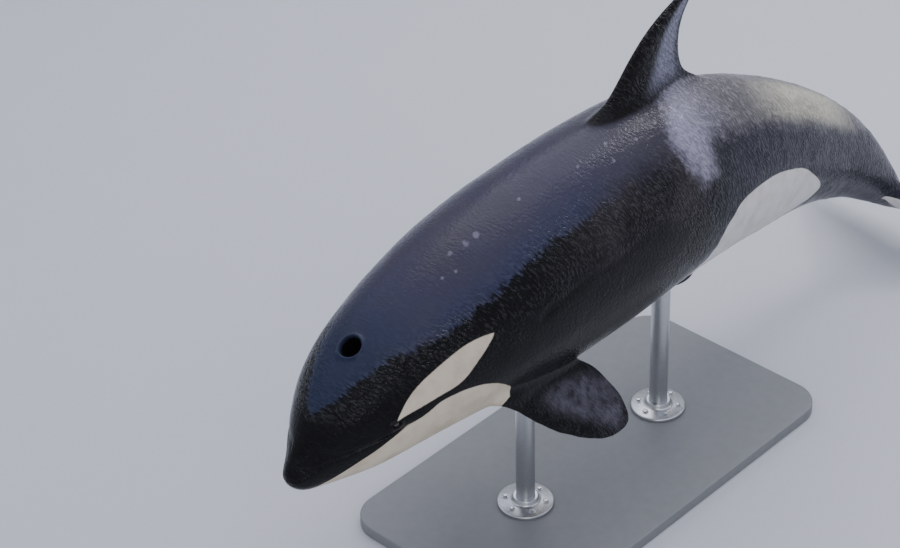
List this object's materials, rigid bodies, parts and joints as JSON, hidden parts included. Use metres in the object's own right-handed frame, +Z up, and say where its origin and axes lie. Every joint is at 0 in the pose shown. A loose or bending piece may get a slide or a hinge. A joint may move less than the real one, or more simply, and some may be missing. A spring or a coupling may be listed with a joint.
{
  "type": "orca model on a display stand",
  "caption": "Life-size still model of a young orca in a leap, head down and tail curled under, with closed mouth and a falcate dorsal fin, held by a plain display stand.",
  "frame": {"origin": "centre of the underside of the stand's base, on the floor", "axes": "+Z up, -Y the way the animal faces, +X the animal's left side"},
  "size_m": [1.3, 4.6012, 2.356],
  "materials": {
    "black_skin": "wet, glossy black skin",
    "white_skin": "wet, glossy cream-white skin",
    "eye": "dark, polished",
    "plinth": "satin grey paint",
    "steel": "brushed",
    "pad": "matt black"
  },
  "bodies": {
    "root": {"head": "black_skin", "lower_jaw": "white_skin", "eye_left": "eye", "eye_right": "eye", "chest": "black_skin", "midbody": "black_skin", "loin": "black_skin", "tail_stock": "black_skin", "dorsal_fin": "black_skin", "flipper_left": "black_skin", "flipper_right": "black_skin", "fluke_left": "black_skin", "fluke_right": "black_skin", "stand_base": "plinth", "stand_foot_front": "steel", "stand_foot_rear": "steel", "stand_rod_front": "steel", "stand_rod_rear": "steel", "stand_cradle_front": "pad", "stand_cradle_rear": "pad"}
  },
  "joints": []
}
